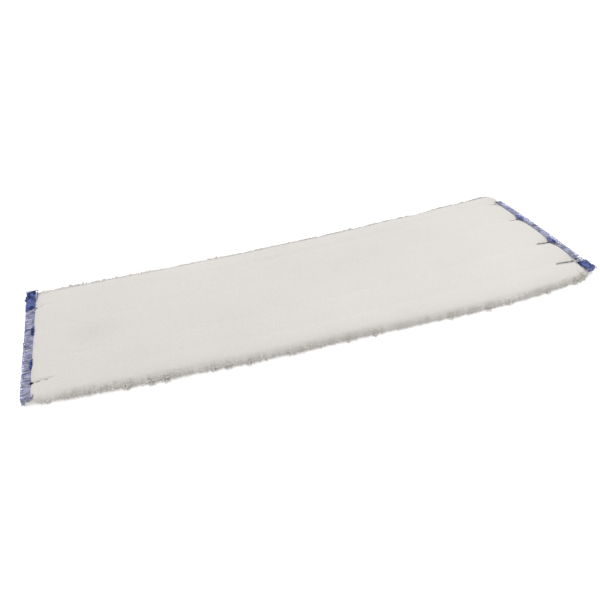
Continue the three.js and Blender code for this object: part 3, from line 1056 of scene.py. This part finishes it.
def corner_tack(name, side, half, corner, length):
    """Dense back-tack over one corner of the seam: two crossing passes and a knot of cut ends."""
    reach, start = (SEAM_WIDTH - 0.2, -1.2) if side > 0 else (SEAM_WIDTH - 0.9, 2.2)
    top = SEAM_TOP + 0.5
    outer_y = corner * (half + 0.2 if side > 0 else half - 1.2)
    inner_y = corner * (half - length)
    low, high = sorted((outer_y, inner_y))
    heights = top + np.array([0.1, 0.35, 0.2, -2.2, 0.25, 0.35])
    first = overlock_path(side, low, high, 0.85, heights, reach, 0.42, start)
    thread(f"overlock_tack_{name}", first, 0.3, TACK_THREAD, "tack_thread", f"overlock_end_tack_{name}")
    second = overlock_path(side, low, high, 2.1, heights + 0.45, reach - 0.8, 0.34, start + 0.6)
    thread(f"overlock_tack_cross_{name}", second, 0.27, BLUE_THREAD, "tack_thread")
    across = 2.8 if side < 0 else SEAM_WIDTH - 1.8
    knot = tangle(side, across, corner * (half - 2.4), top + 0.7, (2.2, 1.8, 0.7), 60)
    thread(f"overlock_tack_knot_{name}", knot, 0.24, KNOT_THREAD, "tack_thread")
    if corner < 0:
        corner_wrap(name, side, 0.5 - half, 15, TACK_THREAD)
    tails(name, side, corner, half)


def tails(name, side, corner, half):
    """Fine cut filaments that stick out of the tacked corner."""
    count = 40
    t = np.linspace(0, 1, 6)[None, :]
    start = rng.uniform(-0.5, SEAM_WIDTH, (count, 1))
    heading = rng.uniform(-1.0, 1.2, (count, 1))
    length = rng.uniform(1.5, 4.5, (count, 1))
    outward = start + length * t * np.sin(heading) + 0.4 * np.sin(5 * t + start)
    y = corner * (half - 0.8 + length * t * np.cos(heading))
    z = SEAM_TOP + 0.6 - 1.8 * t * rng.uniform(0.1, 1.0, (count, 1)) + 0.6 * np.sin(math.pi * t)
    path = on_straight_seam(side, outward, y, z)
    radii = np.broadcast_to(0.15 - 0.08 * t, y.shape)
    tubes(f"overlock_tails_{name}", path, radii, TAIL_THREAD, "overlock_thread", sides=4)


# ---- assembly


def build_pad():
    sheet = pile_sheet()
    loose = pile_fibres()
    core = slab("felt_core_layer", CORE_HALF - 4, CORE_BOTTOM, CORE_TOP, FELT)
    place(core, "felt", "felt_core")
    panel = slab("loop_back_cloth", PANEL_HALF - 0.5, 0, PANEL_TOP, LOOPS, CHANNEL)
    place(panel, "loop", "loop_back_panel")
    for number in range(4):
        needle_stitches(number)
        looper_chain(number)
    end_seam("left", -1, LEFT_HALF)
    end_seam("right", 1, RIGHT_HALF)
    corner_tack("left", -1, LEFT_HALF, 1, LEFT_TACK)
    corner_tack("right", 1, RIGHT_HALF, -1, RIGHT_TACK)


# ---- floor, light and camera

def add_floor():
    """A white floor just under the pad, which glows faintly so that it shows pure white."""
    mesh = bpy.data.meshes.new("floor")
    size = 12.0
    level = -0.0002
    corners = [(-size, -size, level), (size, -size, level), (size, size, level), (-size, size, level)]
    mesh.from_pydata(corners, [], [(0, 1, 2, 3)])
    floor = add_object("floor", mesh)
    material, _, shader = new_material("floor_white", 0.9, 0, specular=0.1)
    set_inputs(shader, {"Base Color": (0.95, 0.95, 0.95, 1), "Emission Color": (1, 1, 1, 1),
                        "Emission Strength": 0.28})
    mesh.materials.append(material)


def add_sun(name, azimuth, elevation, strength, softness):
    """A soft distant light: azimuth is where it comes from, anticlockwise from +X, in degrees."""
    data = bpy.data.lights.new(name, "SUN")
    data.energy = strength
    data.angle = math.radians(softness)
    lamp = add_object(name, data)
    lamp.rotation_euler = (math.radians(90 - elevation), 0, math.radians(azimuth + 90))


def add_lights():
    world = bpy.data.worlds.new("studio")
    bpy.context.scene.world = world
    world.use_nodes = True
    set_inputs(world.node_tree.nodes["Background"], {"Color": (1, 1, 1, 1), "Strength": 0.55})
    add_sun("key_softbox", 70, 62, 1.54, 60)
    add_sun("front_fill", -110, 30, 0.75, 90)
    add_side_softbox()


def add_side_softbox():
    """A weak softbox beyond the right end, which brightens that end a little."""
    data = bpy.data.lights.new("side_softbox", "AREA")
    data.energy = 1.5
    data.size = 0.6
    lamp = add_object("side_softbox", data)
    lamp.location = (0.55, 0.25, 0.75)
    lamp.rotation_euler = (math.radians(28), 0, math.radians(125))


CAMERA_X = -0.1330
CAMERA_Y = -0.3172  # from the middle of the end seams
CAMERA_Z = 0.2545
CAMERA_PITCH = 38.75  # degrees that it looks down
CAMERA_YAW = 20.37  # degrees clockwise from +Y
LENS = 30.69


def add_camera():
    """Camera at the height, place and angle of the view that the pad is shown from."""
    data = bpy.data.cameras.new("camera")
    data.sensor_width = 36
    data.lens = LENS
    data.clip_start = 0.01
    camera = add_object("camera", data)
    camera.location = (CAMERA_X, CAMERA_Y + END_Y * MM, CAMERA_Z)
    camera.rotation_euler = (math.radians(90 - CAMERA_PITCH), 0, math.radians(-CAMERA_YAW))
    bpy.context.scene.camera = camera
    bpy.context.scene.view_settings.view_transform = "Standard"


add_camera()
build_pad()
add_floor()
add_lights()
